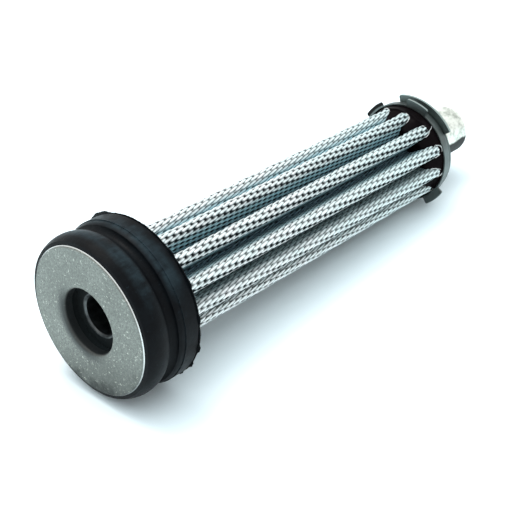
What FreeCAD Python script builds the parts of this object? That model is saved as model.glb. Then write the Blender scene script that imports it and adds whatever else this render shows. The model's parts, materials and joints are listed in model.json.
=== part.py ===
# Oil filter cartridge with a pleated wire cloth pack, in millimetres, Z up.
#
# Each piece is made on the cartridge's own axis, which starts at the centre of
# the front face and runs along +X to the spigot. The whole cartridge is then
# laid down as it comes to rest, on its seal ring and on the rim of its rear cap.
# Angles round the axis are counted from the bottom towards the near side, -Y.
import FreeCAD, Part
import math
import os

Vector = FreeCAD.Vector

# Front disc, a turned steel plate with the round inlet
disc_r = 19.0
disc_thickness = 2.6
disc_edge_chamfer = 0.4
inlet_r = 8.4
inlet_entry_round = 0.8

# Seal ring, moulded round the disc and round the front ends of the folds.
# Its heights are counted from the disc's edge outwards.
lip_height = 0.9
front_lobe_height = 1.9
front_lobe_x = 4.2
groove_edge_height = 1.4
groove_depth = 1.4
groove_start = 6.5
groove_width = 3.1
parting_x = 11.2
parting_step = 0.2
shoulder_dip = 0.12
rear_band_height = 2.1
rear_band_round = 1.0
seal_length = 15.7
inlet_floor_recess = 1.6
inlet_floor_undercut = 0.3

# Core tube, a perforated steel tube that carries the folds
core_r = 5.8
core_wall = 0.8
core_stand_out = 0.5
core_mouth_chamfer = 0.4
core_hole_r = 1.5
core_hole_rings = 7
core_holes_per_ring = 5
core_hole_margin = 8.0

# Pleat pack, one closed wall of woven wire cloth in deep round folds
pleat_count = 12
first_crest_angle = 81.3
crest_r = 14.3
crest_fold_r = 1.95
cloth_wall = 1.0
valley_fold_r = 0.35
pleat_clearance = 0.15
open_length = 107.1
front_bed = 8.7
wire_pitch = 0.69
wire_height = 0.15
bare_rear_end = 1.6

# Rear cap, a shallow pressed cup with turned-out tabs on its mouth
cap_clearance = 0.1
cap_sheet = 0.6
cap_depth = 3.0
cap_bend = 1.0
mouth_chamfer = 0.3
tab_heights = [2.1, 2.1, 1.3, 2.1]
tab_width_angle = 26.0
tab_bend = 0.5
tab_corner_round = 0.6
tab_angles = [47.0, 167.0, 227.0, 313.0]

# Rear potting, cast resin that beds the rear ends of the folds
potting_bed = 1.2
potting_edge_depth = 0.4
potting_crest_rise = 1.4
potting_valley_rise = 5.0
potting_valley_width = 3.1

# Rear plate, a pressed disc with one wide flange, raised over the spigot's foot
plate_inset = 0.4
plate_sheet = 0.7
plate_flange_height = 1.8
plate_flange_start = 125.0
plate_flange_end = 197.0
plate_joggle = 1.2

# Spigot, a drawn stub with a closed round end and a foot under the rear plate
spigot_r = 7.3
spigot_wall = 0.8
spigot_length = 21.4
spigot_end_round = 1.9
spigot_foot_width = 2.7
spigot_foot_bend = 0.6
spigot_clearance = 0.1

# Radii that follow from the sizes above
lip_r = disc_r + lip_height
front_lobe_r = disc_r + front_lobe_height
groove_edge_r = disc_r + groove_edge_height
groove_bottom_r = groove_edge_r - groove_depth
rear_band_r = disc_r + rear_band_height
cap_inner_r = crest_r + cap_clearance
cap_r = cap_inner_r + cap_sheet
potting_valley_r = core_r + potting_valley_width
plate_r = cap_r - plate_inset
plate_flange_r = cap_r + plate_flange_height
spigot_foot_r = spigot_r + spigot_foot_width

# Places along the axis
cap_mouth_x = seal_length + open_length
cap_back_x = cap_mouth_x + cap_depth
cap_floor_x = cap_back_x - cap_sheet
pack_start_x = seal_length - front_bed
pack_end_x = cap_floor_x - potting_bed
inlet_floor_x = disc_thickness + inlet_floor_recess
core_front_x = inlet_floor_x - core_stand_out
foot_back_x = cap_back_x + spigot_wall
spigot_end_x = cap_back_x + spigot_length

ORIGIN = Vector(0, 0, 0)
AXIS = Vector(1, 0, 0)
FULL_TURN = 360.0


def down(x, r):
    """Point at x along the axis and at radius r, straight below the axis."""
    return Vector(x, 0, -r)


def around(x, r, angle):
    """Point at x and radius r, at an angle in degrees round the axis."""
    turn = math.radians(angle)
    return Vector(x, -r * math.sin(turn), -r * math.cos(turn))


def line(start, end):
    return Part.LineSegment(start, end).toShape()


def arc(start, middle, end):
    return Part.Arc(start, middle, end).toShape()


def corner(centre, radius, start, end):
    """Round corner below the axis, from one direction to another in degrees.

    Direction 0 points along the axis and direction 90 points away from it.
    """
    points = []
    for direction in (start, (start + end) / 2, end):
        turn = math.radians(direction)
        points.append(down(centre[0] + radius * math.cos(turn), centre[1] + radius * math.sin(turn)))
    return arc(*points)


def chain(*steps):
    """Closed face from edges and points in order, with lines between them."""
    edges = []
    here = None
    first = None
    for step in steps:
        if isinstance(step, Part.Shape):
            start = step.valueAt(step.FirstParameter)
            end = step.valueAt(step.LastParameter)
        else:
            start = step
            end = step
        if here is None:
            first = start
        elif here.distanceToPoint(start) > 1e-6:
            edges.append(line(here, start))
        if isinstance(step, Part.Shape):
            edges.append(step)
        here = end
    if here.distanceToPoint(first) > 1e-6:
        edges.append(line(here, first))
    return Part.Face(Part.Wire(edges))


def turned(face, width=FULL_TURN, middle=0.0):
    """Solid swept round the axis by a face below it, centred on an angle."""
    solid = face.revolve(ORIGIN, AXIS, -width)
    solid.rotate(ORIGIN, AXIS, width / 2 - middle)
    return solid


def make_front_disc():
    round_x = inlet_entry_round
    round_r = inlet_r + inlet_entry_round
    entry = corner((round_x, round_r), inlet_entry_round, 270, 180)
    return turned(chain(
        down(disc_thickness, inlet_r),
        entry,
        down(0, disc_r - disc_edge_chamfer),
        down(disc_edge_chamfer, disc_r),
        down(disc_thickness, disc_r)))


def make_seal_ring(pack):
    groove_end = groove_start + groove_width
    groove_middle = groove_start + groove_width / 2
    lobe = arc(
        down(disc_edge_chamfer + parting_step, lip_r),
        down(front_lobe_x, front_lobe_r),
        down(groove_start, groove_edge_r))
    groove = arc(
        down(groove_start, groove_edge_r),
        down(groove_middle, groove_bottom_r),
        down(groove_end, groove_edge_r))
    shoulder = arc(
        down(groove_end, groove_edge_r),
        down((groove_end + parting_x) / 2, rear_band_r - parting_step - shoulder_dip),
        down(parting_x, rear_band_r - parting_step))
    rear_corner = corner(rear_band_centre(), rear_band_round, 90, 0)
    ring = turned(chain(
        down(disc_edge_chamfer, disc_r),
        lobe,
        groove,
        shoulder,
        down(parting_x, rear_band_r),
        rear_corner,
        down(seal_length, core_r),
        down(inlet_floor_x, core_r),
        down(inlet_floor_x, inlet_r + inlet_floor_undercut),
        down(disc_thickness, inlet_r + inlet_floor_undercut),
        down(disc_thickness, disc_r)))
    return ring.cut(pack)


def make_core_tube():
    tube = turned(chain(
        down(core_front_x + core_mouth_chamfer, core_r - core_wall),
        down(core_front_x, core_r - core_wall + core_mouth_chamfer),
        down(core_front_x, core_r),
        down(cap_floor_x, core_r),
        down(cap_floor_x, core_r - core_wall)))
    first_x = seal_length + core_hole_margin
    last_x = cap_mouth_x - core_hole_margin
    drills = []
    for ring in range(core_hole_rings):
        x = first_x + (last_x - first_x) * ring / max(core_hole_rings - 1, 1)
        for hole in range(core_holes_per_ring):
            angle = FULL_TURN * (hole + ring % 2 / 2) / core_holes_per_ring
            outward = around(0, 1, angle)
            drills.append(Part.makeCylinder(core_hole_r, 2 * core_r, around(x, 0, angle), outward))
    return tube.cut(drills)


def fold_side(x, shift, side, angle):
    """Straight flank of one fold as two points, crest end first.

    The flank runs between the round crest and the round valley, touching both.
    A shift moves it outwards from the middle of the cloth.
    """
    half_wall = cloth_wall / 2
    crest_centre = around(x, crest_r - crest_fold_r, angle)
    half_pitch = FULL_TURN / pleat_count / 2
    valley_centre = around(x, valley_centre_r(), angle + side * half_pitch)
    crest_radius = crest_fold_r - wire_height - half_wall
    valley_radius = valley_fold_r + half_wall
    across = valley_centre - crest_centre
    reach = across.Length
    lean = math.asin((crest_radius + valley_radius) / reach)
    along = across.normalize()
    sideways = AXIS.cross(along) * side
    normal = sideways * math.cos(lean) + along * math.sin(lean)
    return crest_centre + normal * (crest_radius + shift), valley_centre - normal * (valley_radius - shift)


def valley_centre_r():
    return core_r + pleat_clearance + cloth_wall + valley_fold_r


def fold_outline(x, shift, wired=False):
    """Closed outline of all the folds, shifted outwards from the cloth's middle."""
    edges = []
    pitch = FULL_TURN / pleat_count
    for pleat in range(pleat_count):
        angle = first_crest_angle + pitch * pleat
        before_crest, before_valley = fold_side(x, shift, -1, angle)
        after_crest, after_valley = fold_side(x, shift, 1, angle)
        next_valley = fold_side(x, shift, -1, angle + pitch)[1]
        crest_radius = crest_fold_r - wire_height - cloth_wall / 2 + shift
        crest_top = around(x, crest_r - crest_fold_r + crest_radius, angle)
        valley_floor = around(x, valley_centre_r() - valley_fold_r - cloth_wall / 2 + shift, angle + pitch / 2)
        edges.append(line(before_valley, before_crest))
        if wired:
            edges.extend(wire_crowns(x, before_crest, crest_top, after_crest, angle, crest_radius))
        else:
            edges.append(arc(before_crest, crest_top, after_crest))
        edges.append(line(after_crest, after_valley))
        edges.append(arc(after_valley, valley_floor, next_valley))
    return Part.Wire(edges)


def wire_crowns(x, start, top, end, angle, radius):
    """Small arcs over the crest, one for each wire that runs along the fold."""
    centre = around(x, crest_r - crest_fold_r, angle)
    half_turn = (start - centre).getAngle(top - centre)
    count = max(int(round(2 * half_turn * radius / wire_pitch)), 1)
    crowns = []
    here = start
    for wire in range(count):
        middle = angle_point(centre, radius + wire_height, angle, half_turn, (wire + 0.5) / count)
        there = angle_point(centre, radius, angle, half_turn, (wire + 1) / count)
        if wire == count - 1:
            there = end
        crowns.append(arc(here, middle, there))
        here = there
    return crowns


def angle_point(centre, radius, angle, half_turn, share):
    """Point on a crest's circle, a share of the way over the crest."""
    return centre + around(0, radius, angle + math.degrees(half_turn) * (2 * share - 1))


def wall_between(x_start, x_end, wired):
    half_wall = cloth_wall / 2
    outside = fold_outline(x_start, half_wall, wired)
    inside = fold_outline(x_start, -half_wall)
    section = Part.makeFace([outside, inside], "Part::FaceMakerBullseye")
    return section.extrude(Vector(x_end - x_start, 0, 0))


def make_pleat_pack():
    """Plain ends for bedding, and between them the wires over each crest."""
    wires_end_x = cap_mouth_x - bare_rear_end
    front = wall_between(pack_start_x, seal_length, False)
    middle = wall_between(seal_length, wires_end_x, True)
    rear = wall_between(wires_end_x, pack_end_x, False)
    return front.fuse([middle, rear]).removeSplitter()


def make_rear_potting(pack):
    edge_x = cap_mouth_x + potting_edge_depth
    crest_x = cap_mouth_x - potting_crest_rise
    valley_x = cap_mouth_x - potting_valley_rise
    inner_bend = cap_bend - cap_sheet
    floor_corner = corner((cap_floor_x - inner_bend, cap_inner_r - inner_bend), inner_bend, 0, 90)
    rise_r = crest_r - crest_fold_r
    meniscus = arc(
        down(edge_x, cap_inner_r),
        down(crest_x + 0.3 * (edge_x - crest_x), (cap_inner_r + 2 * rise_r) / 3),
        down(crest_x, rise_r))
    resin = turned(chain(
        down(cap_floor_x, core_r),
        floor_corner,
        meniscus,
        down(valley_x, potting_valley_r),
        down(valley_x, core_r)))
    return resin.cut(pack)


def make_rear_cap():
    floor_corner = corner((cap_back_x - cap_bend, cap_r - cap_bend), cap_bend, 90, 0)
    inner_bend = cap_bend - cap_sheet
    inner_corner = corner((cap_floor_x - inner_bend, cap_inner_r - inner_bend), inner_bend, 0, 90)
    cup = turned(chain(
        down(cap_floor_x, 0),
        inner_corner,
        down(cap_mouth_x + mouth_chamfer, cap_inner_r),
        down(cap_mouth_x, cap_inner_r + mouth_chamfer),
        down(cap_mouth_x, cap_r),
        floor_corner,
        down(cap_back_x, 0)))
    mouth_bend = corner((cap_mouth_x + tab_bend, cap_inner_r + tab_bend), tab_bend, 270, 180)
    tabs = []
    for angle, height in zip(tab_angles, tab_heights):
        tab_r = cap_r + height
        tab_face = chain(
            mouth_bend,
            down(cap_mouth_x, tab_r),
            down(cap_mouth_x + cap_sheet, tab_r),
            down(cap_mouth_x + cap_sheet, cap_inner_r))
        tab = turned(tab_face, tab_width_angle, angle)
        tabs.append(tab.makeFillet(tab_corner_round, corner_edges(tab, tab_r)))
    return cup.fuse(tabs).removeSplitter()


def corner_edges(solid, radius):
    """Short edges along the axis at a radius, as on the corners of a tab."""
    found = []
    for edge in solid.Edges:
        ends = [vertex.Point for vertex in edge.Vertexes]
        if len(ends) != 2:
            continue
        at_radius = all(abs(math.hypot(point.y, point.z) - radius) < 1e-4 for point in ends)
        if at_radius and abs(ends[0].x - ends[1].x) > 1e-4:
            found.append(edge)
    return found


def make_rear_plate():
    hole_r = spigot_r + spigot_foot_bend + spigot_clearance
    raised_r = spigot_foot_r + spigot_clearance
    flat_r = raised_r + plate_joggle
    disc = turned(chain(
        down(foot_back_x, hole_r),
        down(foot_back_x, raised_r),
        down(cap_back_x, flat_r),
        down(cap_back_x, plate_r),
        down(cap_back_x + plate_sheet, plate_r),
        down(cap_back_x + plate_sheet, flat_r + spigot_clearance),
        down(foot_back_x + plate_sheet, raised_r + spigot_clearance),
        down(foot_back_x + plate_sheet, hole_r)))
    flange_face = chain(
        down(cap_back_x, plate_r - plate_sheet),
        down(cap_back_x, plate_flange_r),
        down(cap_back_x + plate_sheet, plate_flange_r),
        down(cap_back_x + plate_sheet, plate_r - plate_sheet))
    flange_width = plate_flange_end - plate_flange_start
    flange = turned(flange_face, flange_width, (plate_flange_start + plate_flange_end) / 2)
    flange = flange.makeFillet(tab_corner_round, corner_edges(flange, plate_flange_r))
    return disc.fuse(flange).removeSplitter()


def make_spigot():
    inner_r = spigot_r - spigot_wall
    inner_round = spigot_end_round - spigot_wall
    foot_bend = corner(
        (foot_back_x + spigot_foot_bend, spigot_r + spigot_foot_bend), spigot_foot_bend, 180, 270)
    end_corner = corner(
        (spigot_end_x - spigot_end_round, spigot_r - spigot_end_round), spigot_end_round, 90, 0)
    inner_corner = corner(
        (spigot_end_x - spigot_end_round, spigot_r - spigot_end_round), inner_round, 0, 90)
    return turned(chain(
        down(cap_back_x, inner_r),
        down(cap_back_x, spigot_foot_r),
        down(foot_back_x, spigot_foot_r),
        foot_bend,
        end_corner,
        down(spigot_end_x, 0),
        down(spigot_end_x - spigot_wall, 0),
        inner_corner))


def rear_band_centre():
    """Centre of the round back edge of the seal ring, as x and radius."""
    return seal_length - rear_band_round, rear_band_r - rear_band_round


def lay_down(shapes):
    """Tilt the cartridge until seal ring and rear cap both stand on Z = 0.

    The ground line touches the round back edge of the seal ring and the round
    back edge of the cap. The origin goes under the middle of the whole box.
    """
    front_x, front_r = rear_band_centre()
    back_x = cap_back_x - cap_bend
    back_r = cap_r - cap_bend
    apart = math.hypot(back_x - front_x, front_r - back_r)
    tilt = math.atan2(front_r - back_r, back_x - front_x)
    tilt += math.asin((rear_band_round - cap_bend) / apart)
    lift = front_x * math.sin(tilt) + front_r * math.cos(tilt) + rear_band_round
    for shape in shapes:
        shape.rotate(ORIGIN, Vector(0, 1, 0), math.degrees(tilt))
        shape.translate(Vector(0, 0, lift))
    box = Part.makeCompound(shapes).optimalBoundingBox(False, False)
    for shape in shapes:
        shape.translate(Vector(-box.Center.x, -box.Center.y, 0))


pack = make_pleat_pack()
pieces = {
    "front_disc": make_front_disc(),
    "seal_ring": make_seal_ring(pack),
    "core_tube": make_core_tube(),
    "pleat_pack": pack,
    "rear_potting": make_rear_potting(pack),
    "rear_cap": make_rear_cap(),
    "rear_plate": make_rear_plate(),
    "spigot": make_spigot(),
}
lay_down(list(pieces.values()))

os.makedirs("parts", exist_ok=True)
for name, shape in pieces.items():
    shape.exportStep("parts/%s.step" % name)
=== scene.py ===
"""Looks of an oil filter cartridge that lies on its seal ring and on its rear cap.

Everything round the cartridge is placed by three numbers: how far along the
axis from the front face, how far out from the axis, and the angle round it,
counted from the bottom towards the near side.
"""
import json
import math

import bpy
import numpy as np
from mathutils import Matrix, Vector


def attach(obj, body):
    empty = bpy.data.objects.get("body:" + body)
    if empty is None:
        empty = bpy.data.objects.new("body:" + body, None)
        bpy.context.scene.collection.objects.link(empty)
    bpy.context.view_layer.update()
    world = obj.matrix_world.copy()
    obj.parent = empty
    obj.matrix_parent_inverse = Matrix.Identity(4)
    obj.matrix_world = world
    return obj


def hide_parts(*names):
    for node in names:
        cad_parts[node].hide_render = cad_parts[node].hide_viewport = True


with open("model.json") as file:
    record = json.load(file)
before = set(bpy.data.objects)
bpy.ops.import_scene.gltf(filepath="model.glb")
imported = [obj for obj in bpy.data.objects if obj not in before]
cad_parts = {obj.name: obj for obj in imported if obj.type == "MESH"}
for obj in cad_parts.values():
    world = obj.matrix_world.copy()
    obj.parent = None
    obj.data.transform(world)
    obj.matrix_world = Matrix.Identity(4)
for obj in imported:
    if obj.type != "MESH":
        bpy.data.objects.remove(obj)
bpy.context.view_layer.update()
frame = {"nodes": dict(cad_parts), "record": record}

bl_info = {
    "name": "Oil filter cartridge looks",
    "version": (1, 0, 0),
    "blender": (4, 5, 0),
    "location": "3D View > Sidebar > Filter",
    "description": "Dresses a pleated wire cloth oil filter cartridge",
    "category": "Object",
}

MM = 0.001
BODY = "root"
MOUNTS = {mount["name"]: mount for mount in frame["record"]["mounts"]}

# The cartridge's own directions: along its axis, out to the near side and up from the axis
ALONG = Vector(MOUNTS["spigot_pin"]["axis"]).normalized()
NEAR = Vector((0, -1, 0))
UP = NEAR.cross(ALONG)
# The centre of the front face, where the axis starts
inlet_place = Vector(MOUNTS["inlet_bore"]["pos_m"])
FACE = inlet_place + ALONG * (Vector(MOUNTS["front_face"]["pos_m"]) - inlet_place).dot(ALONG)
# The parting line of the seal ring, where its rear band starts
band_middle = (Vector(MOUNTS["seal_band"]["pos_m"]) - FACE).dot(ALONG)
PARTING_X = band_middle - MOUNTS["seal_band"]["dims"]["length_mm"] * MM / 2


def place(x, out, angle, onwards=0.0):
    """World points from arrays: distance along the axis, radius, angle and way round it."""
    x, out, angle, onwards = (
        array[..., None] for array in np.broadcast_arrays(x, out, angle, onwards))
    return np.array(FACE) + x * np.array(ALONG) + across(out, angle, onwards)


def across(out, angle, onwards):
    """Vectors across the axis from parts that point out at an angle and onwards round it."""
    cos, sin = np.cos(angle), np.sin(angle)
    return ((onwards * sin - out * cos) * np.array(UP)
            + (out * sin + onwards * cos) * np.array(NEAR))


def length_field(name, description, millimetres):
    """Property that holds a size."""
    return bpy.props.FloatProperty(
        name=name, description=description, default=millimetres * MM, subtype="DISTANCE")


def angle_field(name, description, degrees):
    """Property that holds an angle."""
    return bpy.props.FloatProperty(
        name=name, description=description, default=math.radians(degrees), subtype="ANGLE")


def colour_field(name, description, default):
    """Property that holds a colour."""
    return bpy.props.FloatVectorProperty(
        name=name, description=description, default=default, subtype="COLOR", size=3)


class ClothSizes(bpy.types.PropertyGroup):
    """Sizes of the folded wire cloth."""
    folds: bpy.props.IntProperty(
        name="Folds", description="Number of folds round the pack", default=12, min=3)
    first_crest: angle_field("First crest", "Angle of one crest from the bottom", 81.3)
    crest_r: length_field(
        "Crest radius", "From the axis to the top of the wires on a crest", 14.3)
    crest_fold_r: length_field("Crest fold", "Radius of the round crest, over the wires", 1.95)
    valley_centre_r: length_field(
        "Valley centre", "From the axis to the middle of a valley's round floor", 7.3)
    valley_fold_r: length_field(
        "Valley fold", "Radius of the valley's round floor in the middle of the cloth", 0.85)
    start: length_field("Start", "Where the wires start, inside the seal ring", 15.0)
    end: length_field("End", "Where the wires end, inside the resin", 121.9)
    wires: bpy.props.IntProperty(
        name="Wires", description="Close wires that run along the folds, an even number",
        default=320)
    wire_r: length_field("Wire radius", "Radius of a close wire", 0.4)
    dip: length_field("Dip", "How deep a close wire dips under a cross wire on a crest", 0.66)
    dip_length: length_field(
        "Dip length", "How far before and behind a cross wire the dip reaches", 0.56)
    flank_dip: bpy.props.FloatProperty(
        name="Flank dip", description="Share of the dip that is left on the flat flanks",
        default=0.75, subtype="FACTOR")
    cross_pitch: length_field("Cross pitch", "Distance between cross wires", 2.11)
    slant: angle_field("Slant", "Angle between the close wires and the folds", 10.7)


class SealSizes(bpy.types.PropertyGroup):
    """Sizes of the ragged flash on the back edge of the seal ring."""
    back: length_field("Back", "From the face to the ring's back", 15.7)
    flash: length_field("Flash", "Greatest height of the flash over the ring's rear band", 0.6)
    tear: length_field("Torn flash", "Extra height of the torn bit of flash at the top", 0.55)
    tear_angle: angle_field("Torn place", "Angle of the torn bit from the bottom", 214)
    seed: bpy.props.IntProperty(
        name="Seed", description="Start of the random unevenness", default=7)


class ResinSizes(bpy.types.PropertyGroup):
    """Sizes of the cast resin round the rear ends of the folds."""
    rim_x: length_field("Rim place", "From the face to the resin's edge in the cap", 123.2)
    back_x: length_field(
        "Back place", "From the face to the resin's back on the cap's floor", 125.15)
    rim_r: length_field("Rim radius", "Radius of the resin in the cap", 14.38)
    core_r: length_field("Core radius", "Radius of the tube inside the resin", 5.8)
    shoulder_r: length_field(
        "Shoulder radius", "Radius of the raised resin where it turns back to the rim", 13.5)
    top_bulge: length_field(
        "Top bulge", "How much wider the raised resin is at the top", 1.0)
    rise: length_field("Rise", "How far the resin stands out round the folds", 1.3)
    top_rise: length_field("Top rise", "How much further it stands out at the top", 2.2)
    top_angle: angle_field("Top", "Angle of the thickest resin from the bottom", 176)
    valley_rise: length_field(
        "Valley rise", "How far the resin climbs deep in the valleys", 4.5)
    seed: bpy.props.IntProperty(
        name="Seed", description="Start of the random unevenness", default=11)


class Finishes(bpy.types.PropertyGroup):
    """Colours of the finishes."""
    wire: colour_field("Wire", "Colour of the bright wires", (0.90, 1.0, 0.995))
    disc: colour_field("Disc", "Colour of the blasted front face", (0.208, 0.225, 0.207))
    rubber: colour_field("Rubber", "Colour of the seal ring", (0.0018, 0.0022, 0.003))
    resin: colour_field("Resin", "Colour of the cast resin", (0.0042, 0.003, 0.0034))
    cap: colour_field("Cap", "Colour of the pressed rear cap", (0.127, 0.15, 0.146))
    plate: colour_field("Plate", "Colour of the dark rear plate", (0.108, 0.134, 0.128))
    spigot: colour_field("Spigot", "Colour of the drawn spigot", (0.83, 0.86, 0.79))


class StageSizes(bpy.types.PropertyGroup):
    """Camera, floor and light."""
    lens: bpy.props.FloatProperty(
        name="Lens", description="Focal length on a 36 mm wide picture", default=76.57,
        unit="CAMERA")
    camera_back: length_field(
        "Camera back", "How far the camera stands in front of the front face", 129.0)
    camera_near: length_field("Camera near", "How far it stands to the near side", 170.8)
    camera_up: length_field("Camera up", "How far it stands above the axis", 142.9)
    floor: colour_field("Floor", "Colour of the floor", (0.91, 0.91, 0.91))
    floor_seen: colour_field(
        "Seen floor", "Colour of the floor as the camera sees it", (0.86, 0.915, 0.935))
    floor_white: bpy.props.FloatProperty(
        name="Floor white", description="Share of pure white in the floor as it is seen",
        default=0.03, subtype="FACTOR")
    sky_colour: colour_field(
        "Sky", "Colour of the soft light all round", (0.855, 0.96, 1.0))
    sky_low: bpy.props.FloatProperty(
        name="Low sky", description="Strength of the soft light from near the floor",
        default=0.48)
    sky_high: bpy.props.FloatProperty(
        name="High sky", description="Strength of the soft light from overhead", default=2.85)
    key: bpy.props.FloatProperty(
        name="Key light", description="Power of the main light", default=2.2, unit="POWER")


class Number:
    """A number or colour that varies over a surface. Sums with it add the nodes they need."""

    def __init__(self, nodes, socket):
        self.nodes = nodes
        self.socket = socket

    def _sum(self, operation, *values):
        return self.nodes.node(
            "ShaderNodeMath", {"operation": operation}, dict(enumerate(values)))

    def __add__(self, other):
        return self._sum("ADD", self, other)

    __radd__ = __add__

    def __sub__(self, other):
        return self._sum("SUBTRACT", self, other)

    def __rsub__(self, other):
        return self._sum("SUBTRACT", other, self)

    def __mul__(self, other):
        return self._sum("MULTIPLY", self, other)

    __rmul__ = __mul__

    def __truediv__(self, other):
        return self._sum("DIVIDE", self, other)

    def __rtruediv__(self, other):
        return self._sum("DIVIDE", other, self)

    def __abs__(self):
        return self._sum("ABSOLUTE", self)


class Nodes:
    """The nodes of a material or of the world, and the shader that they feed."""

    # A Mix node's sockets for its two colours, and its output for the mixed one
    FIRST_COLOUR, SECOND_COLOUR, MIXED_COLOUR = 6, 7, 2

    def __init__(self, tree, shader, output):
        self.tree = tree
        self.shader = tree.nodes[shader]
        self.output = tree.nodes[output]

    def node(self, kind, settings=None, inputs=None, output=0):
        """Any node: its settings first, then the values and links of its sockets."""
        made = self.tree.nodes.new(kind)
        for name, value in (settings or {}).items():
            if name == "stops":
                self._set_stops(made.color_ramp, value)
            else:
                setattr(made, name, value)
        for name, value in (inputs or {}).items():
            self._feed(made.inputs[name], value)
        return Number(self, made.outputs[output])

    def _set_stops(self, ramp, stops):
        while len(ramp.elements) < len(stops):
            ramp.elements.new(1.0)
        for element, (position, value) in zip(ramp.elements, stops):
            element.position = position
            element.color = (value, value, value, 1)

    def _feed(self, socket, value):
        if isinstance(value, Number):
            self.tree.links.new(value.socket, socket)
        elif socket.type == "RGBA" and len(value) == 3:
            socket.default_value = (*value, 1)
        else:
            socket.default_value = value

    def set(self, **inputs):
        """Feeds the main shader's sockets, with _ for a space in their names."""
        for name, value in inputs.items():
            self._feed(self.shader.inputs[name.replace("_", " ")], value)

    def steps(self, number, *stops):
        """Straight change of a number through stops of (number, result)."""
        return self.node("ShaderNodeValToRGB", {"stops": stops}, {"Fac": number})

    def mix(self, factor, first, second):
        """Colour between two colours."""
        colours = {self.FIRST_COLOUR: first, self.SECOND_COLOUR: second}
        return self.node(
            "ShaderNodeMix", {"data_type": "RGBA"}, {0: factor, **colours}, self.MIXED_COLOUR)

    def seen(self):
        """One for what the camera sees itself, in a gloss or through glass, else zero."""
        camera, gloss, glass = (self.node("ShaderNodeLightPath", output="Is %s Ray" % kind)
                                for kind in ("Camera", "Glossy", "Transmission"))
        return camera + gloss + glass

    def whiten(self, factor):
        """Lets pure white take the place of the shader by a factor."""
        white = self.node("ShaderNodeEmission", None, {"Color": (1, 1, 1), "Strength": 1.0})
        own = Number(self, self.shader.outputs[0])
        both = self.node("ShaderNodeMixShader", None, {0: factor, 1: own, 2: white})
        self._feed(self.output.inputs["Surface"], both)


class Finish(Nodes):
    """A material and the nodes that make it."""

    def __init__(self, name):
        self.material = bpy.data.materials.new(name)
        self.material.use_nodes = True
        super().__init__(self.material.node_tree, "Principled BSDF", "Material Output")

    def vector(self, operation, output, *values):
        """Sum of vectors, with the name of the output that carries its result."""
        return self.node("ShaderNodeVectorMath", {"operation": operation},
                         dict(enumerate(values)), output)

    def mark(self, name):
        """Number that the mesh carries at its points."""
        return self.node("ShaderNodeAttribute", {"attribute_name": name}, output="Fac")

    def spot(self):
        """Place on the object at rest, in metres."""
        return self.node("ShaderNodeTexCoord", output="Object")

    def from_face(self):
        """Way from the centre of the front face to a point."""
        return self.vector("SUBTRACT", "Vector", self.spot(), tuple(FACE))

    def reach(self, direction):
        """How far a point lies from the centre of the front face along a direction."""
        return self.vector("DOT_PRODUCT", "Value", self.from_face(), tuple(direction))

    def radius(self):
        """Distance of a point from the cartridge's axis, in metres."""
        sideways = self.vector("CROSS_PRODUCT", "Vector", self.from_face(), tuple(ALONG))
        return self.vector("LENGTH", "Value", sideways)

    def stretched(self, across, along):
        """Place scaled differently across and along the cartridge."""
        far = self.vector("DOT_PRODUCT", "Value", self.spot(), tuple(ALONG))
        shift = self.node("ShaderNodeVectorMath", {"operation": "SCALE"},
                          {0: tuple(ALONG), "Scale": far * (along / across - 1)})
        return self.vector("ADD", "Vector", self.spot(), shift)

    def noise(self, scale, detail=2.0, roughness=0.5, spot=None):
        """Soft random pattern from 0 to 1, with scale as spots for each metre."""
        return self.node("ShaderNodeTexNoise", None, {
            "Vector": spot or self.spot(), "Scale": scale, "Detail": detail,
            "Roughness": roughness})

    def patches(self, start, full, *noise):
        """Noise that is zero up to a start value and one from a full value on."""
        return self.steps(self.noise(*noise), (start, 0.0), (full, 1.0))

    def between(self, number, low, high):
        """Zero up to a low value, one from a high value on, and smooth in between."""
        return self.node("ShaderNodeMapRange", {"interpolation_type": "SMOOTHSTEP"},
                         {"Value": number, "From Min": low, "From Max": high})

    def outside(self, start, full):
        """Zero near the axis and one far out, between two radii in millimetres."""
        return self.between(self.radius(), start * MM, full * MM)

    def beyond(self, direction, start, full):
        """Zero before and one behind two places along a direction, in millimetres."""
        return self.between(self.reach(direction), start * MM, full * MM)

    def bump(self, height, depth):
        """Fine unevenness from a height of 0 to 1 and its depth in millimetres."""
        inputs = {"Height": height, "Distance": depth * MM}
        self.set(Normal=self.node("ShaderNodeBump", None, inputs))


def tinted(colour, factor):
    """A colour made lighter or darker."""
    return tuple(min(channel * factor, 1) for channel in colour)


def mesh_object(name, points, faces, finish, smooth):
    """Object from points and faces, with its finish."""
    mesh = bpy.data.meshes.new(name)
    mesh.from_pydata(points, [], faces)
    mesh.polygons.foreach_set("use_smooth", [smooth] * len(mesh.polygons))
    mesh.materials.append(finish.material)
    made = bpy.data.objects.new(name, mesh)
    bpy.context.scene.collection.objects.link(made)
    return made


def mesh_piece(name, points, faces, finish, smooth=True, marks=None):
    """Piece that rides with the cartridge, with lists of named numbers at its points."""
    piece = mesh_object(name, points.tolist(), faces, finish, smooth)
    for mark, values in (marks or {}).items():
        attribute = piece.data.attributes.new(mark, "FLOAT", "POINT")
        attribute.data.foreach_set("value", np.concatenate(values))
    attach(piece, BODY)
    return piece


def dress(node, finish):
    """Gives a carried-over piece its finish."""
    mesh = frame["nodes"][node].data
    mesh.materials.clear()
    mesh.materials.append(finish.material)


def ring_faces(rows, columns, closed=False):
    """Four-sided faces over rows of points that run round, with the rows closed or not."""
    last_row = rows if closed else rows - 1
    row, column = np.meshgrid(np.arange(last_row), np.arange(columns), indexing="ij")
    next_row = (row + 1) % rows
    next_column = (column + 1) % columns
    corners = [row * columns + column, row * columns + next_column,
               next_row * columns + next_column, next_row * columns + column]
    return np.stack([corner.ravel() for corner in corners], axis=1)


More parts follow.
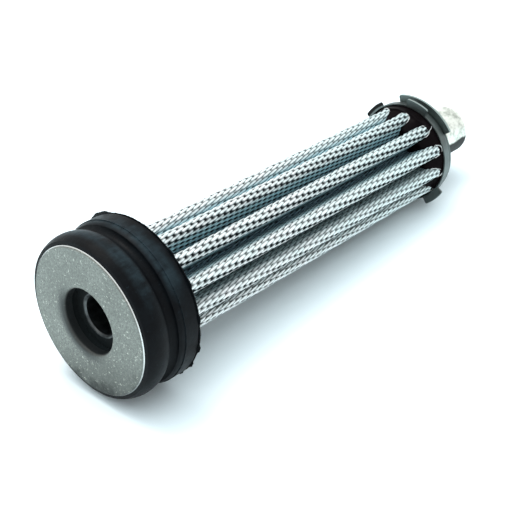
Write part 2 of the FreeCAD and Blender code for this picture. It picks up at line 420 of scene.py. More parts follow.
def closed_faces(points, rows, columns):
    """Faces of a closed shape, turned so that they all face out."""
    faces = ring_faces(rows, columns, closed=True)
    corners = points[faces] - points.mean(axis=0)
    halves = np.cross(corners[:, 1], corners[:, 2]) + np.cross(corners[:, 2], corners[:, 3])
    volume = (corners[:, 0] * halves).sum()
    return (faces if volume > 0 else faces[:, ::-1]).tolist()


def around(count):
    """Evenly spaced angles of a whole turn."""
    return np.arange(count) * 2 * math.pi / count


def soft_step(share):
    """Soft change from zero to one."""
    share = np.clip(share, 0, 1)
    return share * share * (3 - 2 * share)


def ragged(draw, count, knots):
    """Random numbers from 0 to 1 round a circle, soft between a few knots."""
    heights = draw.random(knots)
    where = np.arange(count) * knots / count
    low = where.astype(int)
    share = soft_step(where - low)
    return heights[low] * (1 - share) + heights[(low + 1) % knots] * share


class FoldedCloth:
    """The cloth cut across: a closed path over crests and through valleys."""

    # Where the look of a flank starts, as a share of a crest's length, and where that of a
    # valley starts and how far it takes to be full, as shares of a flank's length
    FLANK_LOOK = 0.75
    VALLEY_LOOK, VALLEY_LOOK_LENGTH = 0.4, 0.5
    # How steeply the upper side changes into the lower one, over a crest and round the pack
    CREST_CHANGE, PACK_CHANGE = -1.3, 3

    def __init__(self, sizes, skin):
        """The skin is how far the wires reach out from the cloth's middle."""
        self.folds = sizes.folds
        self.first = sizes.first_crest
        self.half_pitch = math.pi / sizes.folds
        self.crest_bend = sizes.crest_fold_r - skin
        self.valley_bend = sizes.valley_fold_r
        self.crest = np.array([sizes.crest_r - sizes.crest_fold_r, 0])
        turn = np.array([math.cos(self.half_pitch), math.sin(self.half_pitch)])
        self.valley = sizes.valley_centre_r * turn
        way = self.valley - self.crest
        reach = np.linalg.norm(way)
        way = way / reach
        lean = math.asin((self.crest_bend + self.valley_bend) / reach)
        sideways = np.array([way[1], -way[0]])
        self.flank_out = way * math.sin(lean) + sideways * math.cos(lean)
        self.flank_angle = math.atan2(self.flank_out[1], self.flank_out[0])
        bends = self.flank_out * (self.crest_bend + self.valley_bend)
        flank = self.valley - self.crest - bends
        self.flank_length = np.linalg.norm(flank)
        self.flank_way = flank / self.flank_length
        self.crest_length = self.crest_bend * self.flank_angle
        valley_length = self.valley_bend * (self.flank_angle - self.half_pitch)
        self.half_length = self.crest_length + self.flank_length + valley_length
        self.length = 2 * self.half_length * self.folds

    def from_crest(self, distance):
        """Number of the fold and signed way along the cloth from its crest."""
        distance = np.mod(distance, self.length)
        fold = np.floor(distance / (2 * self.half_length))
        return fold, distance - (2 * fold + 1) * self.half_length

    def crest_angle(self, fold):
        """Angle of a fold's crest from the bottom."""
        return self.first + 2 * self.half_pitch * fold

    def depths(self, distance):
        """How far a place is off the round crest and down in the valley, from 0 to 1."""
        away = np.abs(self.from_crest(distance)[1])
        off_crest = (away - self.FLANK_LOOK * self.crest_length) / self.crest_bend
        valley_start = self.crest_length + self.VALLEY_LOOK * self.flank_length
        in_valley = (away - valley_start) / (self.VALLEY_LOOK_LENGTH * self.flank_length)
        return np.clip(off_crest, 0, 1), np.clip(in_valley, 0, 1)

    def lower_side(self, distance):
        """From -1 on the upper side of a crest beside the axis to 1 on its lower side."""
        fold, from_crest = self.from_crest(distance)
        over_crest = np.clip(self.CREST_CHANGE * from_crest / self.crest_length, -1, 1)
        return over_crest * np.clip(self.PACK_CHANGE * np.sin(self.crest_angle(fold)), -1, 1)

    def at(self, distance, lift):
        """Radial and sideways place, outward direction and crest angle at a distance.

        The lift is how far a point lies outside the middle of the cloth.
        """
        fold, from_crest = self.from_crest(distance)
        side = np.where(from_crest < 0, -1.0, 1.0)
        away = np.abs(from_crest)
        crest_turn = away / self.crest_bend
        past_flank = away - self.crest_length - self.flank_length
        valley_turn = self.flank_angle - math.pi - past_flank / self.valley_bend
        on_crest = away < self.crest_length
        on_flank = ~on_crest & (past_flank < 0)
        places, outs = [], []
        for axis, wave in ((0, np.cos), (1, np.sin)):
            crest = self.crest[axis] + (self.crest_bend + lift) * wave(crest_turn)
            flank = self.crest[axis] + (self.crest_bend + lift) * self.flank_out[axis]
            flank = flank + (away - self.crest_length) * self.flank_way[axis]
            valley = self.valley[axis] + (self.valley_bend - lift) * wave(valley_turn)
            places.append(np.where(on_crest, crest, np.where(on_flank, flank, valley)))
            out = np.where(on_flank, self.flank_out[axis], -wave(valley_turn))
            outs.append(np.where(on_crest, wave(crest_turn), out))
        return places[0], places[1] * side, outs[0], outs[1] * side, self.crest_angle(fold)

    def points(self, x, distance, lift):
        """World points and outward directions on the cloth."""
        radial, sideways, out_radial, out_sideways, angle = self.at(distance, lift)
        points = place(x, radial, angle, sideways)
        return points, across(out_radial[..., None], angle[..., None], out_sideways[..., None])


def tubes(centres, outwards, radius, turns):
    """Points and faces of closed tubes along rows of centre points.

    The turns are the angles of a tube's edges from its outermost line.
    """
    tubes_count, rings, _ = centres.shape
    sides = len(turns)
    ways = np.gradient(centres, axis=1)
    ways /= np.linalg.norm(ways, axis=2, keepdims=True)
    beside = np.cross(ways, outwards)
    beside /= np.linalg.norm(beside, axis=2, keepdims=True)
    outward = np.cross(beside, ways)
    spread = np.cos(turns)[:, None] * outward[:, :, None]
    spread = spread + np.sin(turns)[:, None] * beside[:, :, None]
    points = (centres[:, :, None] + radius * spread).reshape(-1, 3)
    wall = ring_faces(rings, sides)
    near_end = np.arange(sides)
    far_end = near_end[::-1] + (rings - 1) * sides
    faces = []
    for tube in range(tubes_count):
        first = tube * rings * sides
        faces.extend((wall + first).tolist())
        faces.append((near_end + first).tolist())
        faces.append((far_end + first).tolist())
    return points, faces


class FILTER_OT_cloth(bpy.types.Operator):
    """Weaves the wire cloth over the folds."""
    bl_idname = "filter.cloth"
    bl_label = "Wire cloth"

    PARTS = 5
    # A wire's edges from its outermost line, how lit they are, and the painted shade they get
    # behind each dip, before it and in the middle between two dips
    TURNS = np.radians((0, 52, 100, 180, 260, 308))
    EDGE_LIGHT = np.array((1.0, 0.80, 0.40, 0.0, 0.40, 0.80))
    SHADE_BEHIND = np.array((0.1, 0.7, 0.7, 0.0, 0.0, 0.0))
    SHADE_BEFORE = np.array((0.1, 0.0, 0.0, 0.0, 0.7, 0.7))
    SHADE_MIDDLE = np.array((0.0, 0.2, 0.0, 0.0, 0.0, 0.2))
    # Lit share that the edges lose to painted shade on the flanks and on the upper side of a
    # crest
    FLANK_SIDES = np.array((0.0, -0.2, -0.6, 0.0, -0.6, -0.2))
    UPPER_SIDES = np.array((0.0, -0.35, -0.8, 0.0, -0.8, -0.35))
    # Rings of a wire, in dip lengths before and behind a cross wire
    DIP_RINGS = np.array((-1.8, -0.9, 0.0, 0.9, 1.8))
    # Share of the way between two dips after which a ring counts as in the middle
    MIDDLE = 0.45
    # The inner wall of painted shade: points for each fold, and how deep in the cloth its sides
    # lie
    BACK_POINTS = 48
    BACK_LIFTS = (-0.45 * MM, -0.75 * MM)

    def execute(self, context):
        sizes = context.scene.filter_cloth
        cloth = FoldedCloth(sizes, sizes.wire_r)
        finish = self.wire(context.scene.filter_finishes.wire)
        for part in range(self.PARTS):
            self.weave(sizes, cloth, finish, part)
        self.back(sizes, cloth)
        return {"FINISHED"}

    def wire(self, colour):
        """Bright wire with painted shade in its dips and down its sides, painted lit and shaded
        flanks, and painted shade down in the folds.
        """
        finish = Finish("wire_cloth")
        patches = finish.patches(0.3, 0.7, 260.0, 3.0)
        crest = finish.mix(patches, tinted(colour, 1.0), tinted(colour, 1.1))
        crest = finish.mix(finish.beyond(ALONG, 55, 105) * 0.75, crest, (0.84, 1.0, 1.0))
        # Painted light and shade: the flanks are darker than the crests, the upper flanks lit
        # and the lower ones shaded, and the valleys in painted shade
        shaded_flank = finish.mix(patches, (0.24, 0.33, 0.34), (0.42, 0.53, 0.54))
        lit_flank = finish.mix(patches, (0.48, 0.79, 0.88), (0.64, 0.92, 0.98))
        flank = finish.mix(finish.beyond(UP, 4.5, 7.5), shaded_flank, lit_flank)
        flank = finish.mix(finish.mark("valley"), flank, (0.20, 0.32, 0.38))
        depth = finish.mark("depth")
        clean = finish.mix(depth, crest, flank)
        # Painted shade: dark where the lit mark is low, in the dips and down the wires' sides
        finish.set(Base_Color=finish.mix(finish.mark("clean"), (0.002, 0.006, 0.009), clean),
                   Metallic=0.5 - depth * 0.25,
                   Roughness=finish.noise(900.0) * 0.14 + 0.24,
                   Specular_IOR_Level=0.2)
        finish.bump(finish.noise(9000.0), 0.004)
        return finish

    def shade_wall_finish(self):
        """Dark finish of the inner wall, painted shade for the wires deep in the cloth."""
        finish = Finish("wire_cloth_shade")
        colour = finish.mix(finish.noise(500.0), (0.008, 0.011, 0.013), (0.02, 0.026, 0.03))
        finish.set(Base_Color=colour, Metallic=0.3, Roughness=0.6)
        return finish

    def rings(self, sizes, odd):
        """Places of a wire's rings, how far each is in a dip, and the painted shade on its
        edges.
        """
        period = 2 * sizes.cross_pitch
        numbers = np.arange((sizes.end - sizes.start) / period + 2)
        dips = sizes.start + period * (numbers - odd / 2)
        offsets = np.append(self.DIP_RINGS * sizes.dip_length, period / 2)
        x = np.clip(dips[:, None] + offsets, sizes.start, sizes.end)
        x = np.unique(x.round(7))
        from_dip = (x - dips[0] + period / 2) % period - period / 2
        dipped = np.exp(-(from_dip / sizes.dip_length) ** 2)
        middle = np.abs(from_dip) > self.MIDDLE * period
        behind = ((from_dip > 0) | middle)[:, None]
        before = ((from_dip < 0) | middle)[:, None]
        painted_shade = behind * self.SHADE_BEHIND + before * self.SHADE_BEFORE
        return x, dipped, painted_shade + middle[:, None] * self.SHADE_MIDDLE

    def weave(self, sizes, cloth, finish, part):
        """One group of the wires that lie beside each other."""
        first, last = (sizes.wires * number // self.PARTS for number in (part, part + 1))
        points, faces, clean, depths, valleys = [], [], [], [], []
        for odd in (0, 1):
            x, dipped, painted_shade = self.rings(sizes, odd)
            wires = np.arange(first, last)
            wires = wires[wires % 2 == odd]
            along = np.broadcast_to(x, (len(wires), len(x)))
            distance = wires[:, None] * cloth.length / sizes.wires
            distance = distance + (along - sizes.start) * math.tan(sizes.slant)
            depth, valley = cloth.depths(distance)
            left = 1 - (1 - sizes.flank_dip) * depth
            centres, outwards = cloth.points(along, distance, -sizes.dip * left * dipped)
            new_points, new_faces = tubes(centres, outwards, sizes.wire_r, self.TURNS)
            shift = sum(len(group) for group in points)
            faces.extend([[corner + shift for corner in face] for face in new_faces])
            points.append(new_points)
            # Painted shade: the sides of the wires get most on the lower side of a crest, and
            # the dips are darkened but for those on its upper side, which stay lit
            lower = cloth.lower_side(distance)
            upper = np.clip(-lower, 0, 1)
            edges = self.EDGE_LIGHT - painted_shade * np.clip(0.3 + 1.5 * lower, 0, 2)[..., None]
            edges = edges + depth[..., None] * self.FLANK_SIDES
            edges = edges + upper[..., None] * self.UPPER_SIDES
            dark = (0.995 - 0.6 * upper) * (0.3 + 0.7 * left) * np.clip(2.2 * dipped, 0, 1)
            clean.append((np.clip(edges, 0, 1) * (1 - dark)[..., None]).ravel())
            depths.append(np.repeat(depth, len(self.TURNS)))
            valleys.append(np.repeat(valley, len(self.TURNS)))
        piece = mesh_piece(
            "wires_%d" % (part + 1), np.concatenate(points), faces, finish,
            marks={"clean": clean, "depth": depths, "valley": valleys})
        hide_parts("pleat_pack")

    def back(self, sizes, cloth):
        """Dark inner wall, a sheet of painted shade that stands for the depth of the cloth
        between its wires.
        """
        count = self.BACK_POINTS * sizes.folds
        distance = np.arange(count) * cloth.length / count
        outer, inner = self.BACK_LIFTS
        rows = [cloth.points(np.full_like(distance, x), distance, lift)[0]
                for x, lift in ((sizes.start, outer), (sizes.end, outer),
                                (sizes.end, inner), (sizes.start, inner))]
        points = np.concatenate(rows)
        piece = mesh_piece("cloth_depth", points, closed_faces(points, len(rows), count),
                           self.shade_wall_finish())
        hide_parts("pleat_pack")


class FILTER_OT_seal(bpy.types.Operator):
    """Finishes the moulded seal ring and adds the ragged flash on its back edge."""
    bl_idname = "filter.seal"
    bl_label = "Seal ring"

    COLUMNS = 300
    # The flash cut across: place before the ring's back and radius in millimetres, and share
    # of its height
    SECTION = ((0.6, 20.3, 0.0), (0.2, 20.95, 1.0), (0.0, 20.85, 1.0), (-0.05, 20.0, 0.0))
    # Shares of the flash's height and number of its wide and its narrow bumps, and the share
    # of its single points
    BUMPS = ((0.5, 23), (0.3, 75))
    POINTS = 0.2
    # Angles and extra heights of small torn bits on the near side, in degrees and millimetres
    BITS = ((42, 0.35), (57, 0.45), (74, 0.4), (97, 0.3), (121, 0.35), (143, 0.25))
    BIT_WIDTH = math.radians(2.2)
    TEAR_WIDTH = math.radians(9)
    # Where the painted sheen lies along the ring, mostly on its two lobes, in shares of a length
    LOBE_LENGTH = 16 * MM
    LOBES = ((0.13, 0.0), (0.22, 1.0), (0.34, 1.0), (0.41, 0.0),
             (0.60, 0.0), (0.66, 1.0), (0.82, 0.75), (0.92, 0.0))

    def execute(self, context):
        finish = self.rubber(context.scene.filter_finishes.rubber)
        dress("seal_ring", finish)
        self.flash(context.scene.filter_seal, finish)
        return {"FINISHED"}

    def rubber(self, colour):
        """Black rubber with specks of dust, painted bluish sheen on its lobes and along its
        parting line, and painted light inside near the bore.
        """
        finish = Finish("black_rubber")
        dust = finish.patches(0.63, 0.72, 1500.0, 3.0, 0.7)
        haze = finish.patches(0.40, 0.62, 150.0, 6.0, 0.7)
        # Painted sheen: bluish bands on the lobes, strong on the upper side and weak low down,
        # with streaks through them; the specks and faint haze are real dust
        lobes = finish.steps(finish.reach(ALONG) / self.LOBE_LENGTH, *self.LOBES)
        above = finish.beyond(UP, 7, 15)
        below = 1 - finish.beyond(UP, -9, 0)
        sheen = lobes * (above * 0.75 + below * 0.15)
        streaks = finish.patches(0.35, 0.68, 620.0, 3.0, 0.6, finish.stretched(620.0, 150.0))
        # Painted highlight along the parting line
        off_parting = abs(finish.reach(ALONG) - PARTING_X)
        parting = (1 - finish.between(off_parting, 0.05 * MM, 0.2 * MM)) * streaks
        # Painted light on the rubber inside, near the bore, where little light reaches
        inside = 1 - finish.outside(9, 12)
        overlay = sheen * (haze * 0.6 + streaks * 0.4 + 0.1)
        overlay = overlay + dust * 0.3 + parting * 0.35 + haze * 0.08
        skin = finish.mix(overlay, colour, (0.022, 0.036, 0.044))
        finish.set(Base_Color=finish.mix(inside * 0.6, skin, (0.02, 0.024, 0.024)),
                   Roughness=finish.noise(260.0, 4.0, 0.6) * 0.3 + 0.3,
                   Specular_IOR_Level=0.07)
        finish.bump(finish.noise(900.0, 5.0, 0.62), 0.06)
        return finish

    def torn(self, angle, middle, width):
        """Share of a torn bit's height at an angle."""
        away = np.abs(np.angle(np.exp(1j * (angle - middle))))
        return soft_step(1.6 - away / width)

    def flash(self, sizes, finish):
        """Thin ragged skin that the mould left on the ring's back edge."""
        draw = np.random.default_rng(sizes.seed)
        angle = around(self.COLUMNS)
        height = sum(share * ragged(draw, self.COLUMNS, knots) for share, knots in self.BUMPS)
        height = sizes.flash * (height + self.POINTS * draw.random(self.COLUMNS))
        height = height + sizes.tear * self.torn(angle, sizes.tear_angle, self.TEAR_WIDTH)
        for bit_angle, bit_height in self.BITS:
            torn = self.torn(angle, math.radians(bit_angle), self.BIT_WIDTH)
            height = height + bit_height * MM * torn
        # There is none where the ring lies on the floor
        height = height * soft_step(3 * (1 - np.cos(angle)))
        rows = [place(sizes.back - before * MM, out * MM + share * height, angle)
                for before, out, share in self.SECTION]
        points = np.concatenate(rows)
        mesh_piece("seal_flash", points, closed_faces(points, len(rows), self.COLUMNS), finish,
                   smooth=False)


class FILTER_OT_disc(bpy.types.Operator):
    """Finishes the blasted steel front disc."""
    bl_idname = "filter.disc"
    bl_label = "Front disc"

    def execute(self, context):
        colour = context.scene.filter_finishes.disc
        finish = Finish("turned_steel")
        grain = finish.noise(2300.0, 3.0, 0.7)
        speckle = finish.steps(grain, (0.36, 0.0), (0.64, 1.0))
        sparkle = finish.patches(0.60, 0.68, 1250.0, 3.0, 0.8)
        cloud = finish.patches(0.35, 0.7, 85.0, 4.0, 0.6)
        down = UP * -1 + NEAR * 0.2
        patch = finish.noise(170.0, 5.0, 0.65)
        smudge = finish.between(patch + finish.beyond(down, 10, 18) * 0.3, 0.62, 0.84)
        metal = finish.mix(speckle, tinted(colour, 0.66), tinted(colour, 1.34))
        metal = finish.mix(cloud * 0.45, metal, tinted(colour, 0.6))
        # Painted shade towards the lower side
        metal = finish.mix(finish.beyond(down, 4, 17) * 0.6, metal, tinted(colour, 0.4))
        metal = finish.mix(sparkle * 0.85, metal, (0.62, 0.64, 0.57))
        metal = finish.mix(smudge * 0.8, metal, (0.03, 0.033, 0.032))
        # Painted shade round the hole, on the far lower side, where its entry is rounded
        hole_shade = (1 - finish.outside(8.9, 11.6)) * finish.beyond(UP * -0.6 - NEAR * 0.8, -2, 7)
        metal = finish.mix(hole_shade * 0.9, metal, (0.05, 0.055, 0.055))
        # The rim's edge is bright, with a painted highlight on its upper part and darker low
        # down
        rim = finish.outside(18.78, 18.86)
        upper = finish.between(finish.reach(UP) + patch * 12 * MM, -6 * MM, 6 * MM)
        bright = finish.mix(upper, (0.2, 0.215, 0.215), (0.7, 0.73, 0.72))
        metal = finish.mix(rim, metal, bright)
        # Painted shade inside the bore
        hole = finish.beyond(ALONG, 0.12, 0.85) * (1 - finish.outside(11.0, 11.5))
        finish.set(Base_Color=finish.mix(hole, metal, (0.0095, 0.0115, 0.012)),
                   Metallic=0.92 - hole * 0.9, Roughness=grain * 0.22 + 0.38 - rim * 0.2)
        finish.bump(grain, 0.03)
        dress("front_disc", finish)
        return {"FINISHED"}


class FILTER_OT_tube(bpy.types.Operator):
    """Finishes the core tube."""
    bl_idname = "filter.tube"
    bl_label = "Core tube"

    def execute(self, context):
        finish = Finish("tube_steel")
        oil = finish.patches(0.35, 0.7, 500.0, 3.0)
        finish.set(Base_Color=finish.mix(oil, (0.05, 0.057, 0.06), (0.13, 0.14, 0.14)),
                   Metallic=1.0, Roughness=finish.noise(400.0) * 0.2 + 0.3)
        dress("core_tube", finish)
        return {"FINISHED"}


class FILTER_OT_resin(bpy.types.Operator):
    """Casts the resin round the rear ends of the folds."""
    bl_idname = "filter.resin"
    bl_label = "Rear resin"

    ROWS, COLUMNS = 40, 420
    # Share of the rows that lie inside the shoulder
    SHOULDER = 0.8
    # Radius where the climb in the valleys starts, and how far inside it is full
    VALLEY_R, VALLEY_REACH = 14.2 * MM, 2.8 * MM
    WAVES, WAVE_HEIGHT = 14, 0.06 * MM
    # Loose wire ends: number for each fold, shape, and the ranges of their start and turn
    # round the fold and of their gaps to the fold and the resin in millimetres
    ENDS, END_RINGS, END_SIDES, END_R = 3, 9, 6, 0.14 * MM
    END_START, END_TURN = (-1.5, 0.9), (0.35, 0.9)
    END_GAP, END_LIFT = (-0.05, 0.12), (0.02, 0.1)

    def execute(self, context):
        sizes = context.scene.filter_resin
        cloth = context.scene.filter_cloth
        angle = around(self.COLUMNS)[None]
        # The first rows run out to the shoulder, and the last ones turn over it to the rim
        share = np.linspace(0, 1, self.ROWS)[:, None]
        shoulder_r = self.shoulder(sizes, angle)
        inner = np.clip(share / self.SHOULDER, 0, 1)
        over = np.clip((share - self.SHOULDER) / (1 - self.SHOULDER), 0, 1)
        out = sizes.core_r + (shoulder_r - sizes.core_r) * inner
        out = out + (sizes.rim_r - shoulder_r) * over
        front = place(self.surface(sizes, cloth, out, angle, over), out, angle)
        back = [place(sizes.back_x, edge, angle) for edge in (sizes.rim_r, sizes.core_r)]
        points = np.concatenate([front, *back]).reshape(-1, 3)
        piece = mesh_piece(
            "resin_cast", points, closed_faces(points, self.ROWS + 2, self.COLUMNS),
            self.resin(context.scene.filter_finishes.resin))
        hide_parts("rear_potting")
        self.wire_ends(sizes, cloth)
        return {"FINISHED"}

    def top(self, sizes, angle):
        """One where the resin is thickest, falling to zero at its sides."""
        return np.clip(np.cos(angle - sizes.top_angle), 0, 1) ** 4

    def shoulder(self, sizes, angle):
        """Radius where the raised resin turns back to the rim."""
        return sizes.shoulder_r + sizes.top_bulge * soft_step(1.5 * self.top(sizes, angle))

    def surface(self, sizes, cloth, out, angle, over):
        """How far along the resin's front lies, with over as the share of the way to the rim."""
        turn = np.mod((angle - cloth.first_crest) * cloth.folds / (2 * math.pi), 1)
        valley = 1 - 2 * np.abs(turn - 0.5)
        deep = soft_step((self.VALLEY_R - out) / self.VALLEY_REACH)
        rise = sizes.rise + sizes.top_rise * self.top(sizes, angle)
        rise = rise + sizes.valley_rise * soft_step(1.4 * valley) * deep
        return sizes.rim_x - (rise + self.lumps(sizes, out, angle)) * (1 - soft_step(over))

    def lumps(self, sizes, out, angle):
        """Soft unevenness of the poured surface."""
        draw = np.random.default_rng(sizes.seed)
        side, up = out * np.sin(angle), out * np.cos(angle)
        height = np.zeros_like(side)
        for _ in range(self.WAVES):
            turn, phase = draw.random(2) * 2 * math.pi
            step = 700 + 1500 * draw.random()
            height = height + np.sin(step * (side * np.cos(turn) + up * np.sin(turn)) + phase)
        return self.WAVE_HEIGHT * height

    def wire_ends(self, sizes, cloth):
        """Bright ends of cross wires that lie on the resin round the ends of the folds."""
        draw = np.random.default_rng(sizes.seed + 1)
        turn = np.linspace(0, 1, self.END_RINGS)
        crest_centre = cloth.crest_r - cloth.crest_fold_r
        centres = []
        for fold in range(cloth.folds):
            for _ in range(self.ENDS):
                start = draw.uniform(*self.END_START)
                bend = start + turn * draw.uniform(*self.END_TURN)
                fold_r = cloth.crest_fold_r + draw.uniform(*self.END_GAP) * MM
                radial = crest_centre + fold_r * np.cos(bend)
                sideways = fold_r * np.sin(bend)
                out = np.hypot(radial, sideways)
                crest = cloth.first_crest + fold * 2 * math.pi / cloth.folds
                angle = crest + np.arctan2(sideways, radial)
                shoulder_r = self.shoulder(sizes, angle)
                rim_width = np.maximum(sizes.rim_r - shoulder_r, 0.1 * MM)
                over = np.clip((out - shoulder_r) / rim_width, 0, 1)
                x = self.surface(sizes, cloth, out, angle, over)
                centres.append(place(x - draw.uniform(*self.END_LIFT) * MM, out, angle))
        centres = np.array(centres)
        outwards = np.broadcast_to(-np.array(ALONG), centres.shape)
        points, faces = tubes(centres, outwards, self.END_R, around(self.END_SIDES))
        finish = Finish("wire_ends")
        colour = finish.mix(finish.noise(2000.0), (0.5, 0.53, 0.52), (0.9, 0.92, 0.91))
        finish.set(Base_Color=colour, Metallic=0.6,
                   Roughness=finish.noise(1500.0) * 0.2 + 0.15)
        mesh_piece("wire_ends", points, faces, finish)

    def resin(self, colour):
        """Dark glossy resin."""
        finish = Finish("cast_resin")
        shades = tinted(colour, 0.7), tinted(colour, 1.5)
        finish.set(Base_Color=finish.mix(finish.noise(300.0), *shades),
                   Roughness=finish.noise(200.0) * 0.2 + 0.2, Specular_IOR_Level=0.02)
        finish.bump(finish.noise(420.0), 0.05)
        return finish


class FILTER_OT_cap(bpy.types.Operator):
    """Finishes the pressed rear cap and its tabs."""
    bl_idname = "filter.cap"
    bl_label = "Rear cap"

    def execute(self, context):
        colour = context.scene.filter_finishes.cap
        finish = Finish("pressed_steel")
        stain = finish.patches(0.3, 0.7, 150.0, 4.0, 0.6)
        metal = finish.mix(stain, tinted(colour, 0.8), tinted(colour, 1.25))
        tab = finish.outside(15.05, 15.4)
        metal = finish.mix(tab, metal, tinted(colour, 0.95))
        # Painted highlight along the tabs' outer edges
        metal = finish.mix(finish.outside(16.95, 17.05), metal, tinted(colour, 2.6))
        # Painted shade darkens the tab on the far side
        far_tab_shade = tab * (1 - finish.beyond(NEAR, -8.5, -6))
        finish.set(Base_Color=finish.mix(far_tab_shade, metal, (0.006, 0.0065, 0.0065)),
                   Metallic=0.95 - far_tab_shade * 0.9, Specular_IOR_Level=0.1,
                   Roughness=finish.noise(700.0, 3.0) * 0.2 + 0.3)
        finish.bump(finish.noise(1500.0, 3.0), 0.012)
        dress("rear_cap", finish)
        return {"FINISHED"}


class FILTER_OT_plate(bpy.types.Operator):
    """Finishes the dark rear plate."""
    bl_idname = "filter.plate"
    bl_label = "Rear plate"

    def execute(self, context):
        colour = context.scene.filter_finishes.plate
        finish = Finish("dark_steel")
        stain = finish.noise(240.0, 4.0, 0.6)
        metal = finish.mix(stain, tinted(colour, 0.6), tinted(colour, 1.5))
        # Painted highlight along the plate's outer edge
        edge = finish.outside(16.65, 16.75)
        finish.set(Base_Color=finish.mix(edge, metal, tinted(colour, 3.0)),
                   Metallic=0.9, Roughness=finish.noise(600.0, 3.0) * 0.2 + 0.35)
        finish.bump(finish.noise(1500.0, 3.0), 0.015)
        dress("rear_plate", finish)
        return {"FINISHED"}


class FILTER_OT_spigot(bpy.types.Operator):
    """Finishes the drawn spigot."""
    bl_idname = "filter.spigot"
    bl_label = "Spigot"

    def execute(self, context):
        colour = context.scene.filter_finishes.spigot
        finish = Finish("drawn_steel")
        drawn = finish.noise(1500.0, 3.0, 0.6, finish.stretched(1500.0, 60.0))
        stain = finish.patches(0.46, 0.62, 230.0, 5.0, 0.7)
        metal = finish.mix(drawn, tinted(colour, 0.92), tinted(colour, 1.12))
        metal = finish.mix(stain * 0.65, metal, (0.17, 0.20, 0.155))
        # Painted shade covers the lower side up to an uneven line
        overlay = finish.reach(UP * -1) + finish.noise(220.0, 3.0) * 2.4 * MM
        overlay = finish.between(overlay, 0.9 * MM, 1.8 * MM)
        finish.set(Base_Color=finish.mix(overlay, metal, (0.02, 0.022, 0.022)),
                   Metallic=0.8 - overlay * 0.4,
                   Roughness=finish.noise(500.0) * 0.18 + 0.26 + overlay * 0.3)
        finish.bump(drawn, 0.006)
        dress("spigot", finish)
        return {"FINISHED"}


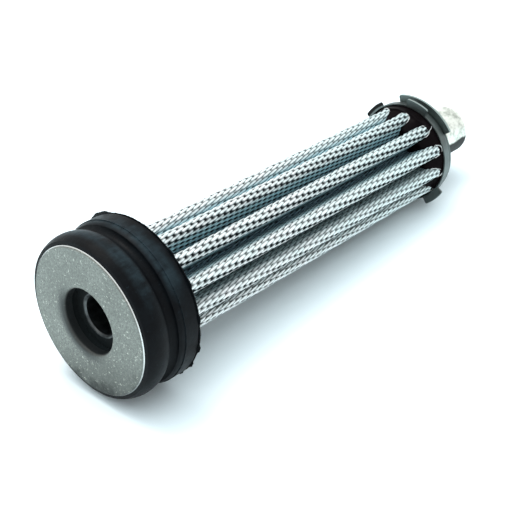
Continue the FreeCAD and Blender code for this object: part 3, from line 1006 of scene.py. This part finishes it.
class FILTER_OT_stage(bpy.types.Operator):
    """Sets the floor, the light and the camera."""
    bl_idname = "filter.stage"
    bl_label = "Stage"

    # Half the floor's side, in metres
    FLOOR_HALF = 3.0
    # Upward parts of a direction between which the sky's light grows
    SKY_HEIGHTS = ((0.45, 0.0), (0.95, 1.0))
    KEY_PLACE = (-0.05, 0.24, 0.66)
    KEY_SIZE = 0.4
    KEY_COLOUR = (1.0, 0.96, 0.91)
    # The camera's view: its parts along the axis, up from it and to the near side
    LOOK = (0.6348, -0.5143, -0.5766)
    # Distance from the camera, in metres, from which things are drawn
    CLOSEST = 0.01

    def execute(self, context):
        sizes = context.scene.filter_stage
        self.floor(sizes)
        self.light(context, sizes)
        self.camera(context, sizes)
        context.scene.view_settings.view_transform = "Standard"
        return {"FINISHED"}

    def floor(self, sizes):
        """Pale floor, which looks white but for the cartridge's shadow."""
        finish = Finish("floor")
        colour = finish.mix(finish.seen(), tuple(sizes.floor), tuple(sizes.floor_seen))
        finish.set(Base_Color=colour, Roughness=0.9)
        finish.whiten(finish.seen() * sizes.floor_white)
        half = self.FLOOR_HALF
        corners = [(-half, -half, 0), (half, -half, 0), (half, half, 0), (-half, half, 0)]
        floor = mesh_object("floor", corners, [(0, 1, 2, 3)], finish, False)

    def light(self, context, sizes):
        """Soft sky that is brightest overhead, and one soft lamp."""
        world = bpy.data.worlds.new("studio")
        world.use_nodes = True
        context.scene.world = world
        sky = Nodes(world.node_tree, "Background", "World Output")
        way = sky.node("ShaderNodeTexCoord", output="Generated")
        height = sky.node("ShaderNodeSeparateXYZ", None, {0: way}, "Z")
        growth = sky.steps(height, *self.SKY_HEIGHTS)
        sky.set(Color=tuple(sizes.sky_colour),
                Strength=growth * (sizes.sky_high - sizes.sky_low) + sizes.sky_low)
        sky.whiten(sky.seen())
        lamp = bpy.data.lights.new("key", "AREA")
        lamp.shape = "DISK"
        lamp.size = self.KEY_SIZE
        lamp.energy = sizes.key
        lamp.color = self.KEY_COLOUR
        key = bpy.data.objects.new("key", lamp)
        key.location = self.KEY_PLACE
        key.rotation_mode = "QUATERNION"
        key.rotation_quaternion = (-key.location).to_track_quat("-Z", "Y")
        context.scene.collection.objects.link(key)

    def camera(self, context, sizes):
        """Camera level with the cartridge's own up, placed from the front face's centre."""
        camera = bpy.data.cameras.new("camera")
        camera.lens = sizes.lens
        camera.clip_start = self.CLOSEST
        eye = FACE - ALONG * sizes.camera_back + NEAR * sizes.camera_near + UP * sizes.camera_up
        along, up, near = self.LOOK
        look = (ALONG * along + UP * up + NEAR * near).normalized()
        right = look.cross(UP).normalized()
        turn = Matrix((right, right.cross(look), -look)).transposed().to_4x4()
        holder = bpy.data.objects.new("camera", camera)
        holder.matrix_world = Matrix.Translation(eye) @ turn
        context.scene.collection.objects.link(holder)
        context.scene.camera = holder


class FILTER_PT_panel(bpy.types.Panel):
    """Lists the pieces and their sizes."""
    bl_idname = "FILTER_PT_panel"
    bl_label = "Oil filter cartridge"
    bl_space_type = "VIEW_3D"
    bl_region_type = "UI"
    bl_category = "Filter"

    def draw(self, context):
        for operator in OPERATORS:
            self.layout.operator(operator.bl_idname)
        for name, group_class in GROUPS.items():
            box = self.layout.box()
            for field in group_class.__annotations__:
                box.prop(getattr(context.scene, name), field)


GROUPS = {
    "filter_cloth": ClothSizes,
    "filter_seal": SealSizes,
    "filter_resin": ResinSizes,
    "filter_finishes": Finishes,
    "filter_stage": StageSizes,
}
OPERATORS = (
    FILTER_OT_cloth, FILTER_OT_seal, FILTER_OT_disc, FILTER_OT_tube, FILTER_OT_resin,
    FILTER_OT_cap, FILTER_OT_plate, FILTER_OT_spigot, FILTER_OT_stage)


def register():
    for group_class in GROUPS.values():
        bpy.utils.register_class(group_class)
    for name, group_class in GROUPS.items():
        setattr(bpy.types.Scene, name, bpy.props.PointerProperty(type=group_class))
    for operator in OPERATORS:
        bpy.utils.register_class(operator)
    bpy.utils.register_class(FILTER_PT_panel)


def unregister():
    bpy.utils.unregister_class(FILTER_PT_panel)
    for operator in reversed(OPERATORS):
        bpy.utils.unregister_class(operator)
    for name, group_class in GROUPS.items():
        delattr(bpy.types.Scene, name)
        bpy.utils.unregister_class(group_class)


def main():
    register()
    bpy.ops.filter.cloth()
    bpy.ops.filter.seal()
    bpy.ops.filter.disc()
    bpy.ops.filter.tube()
    bpy.ops.filter.resin()
    bpy.ops.filter.cap()
    bpy.ops.filter.plate()
    bpy.ops.filter.spigot()
    bpy.ops.filter.stage()


if __name__ == "__main__":
    main()
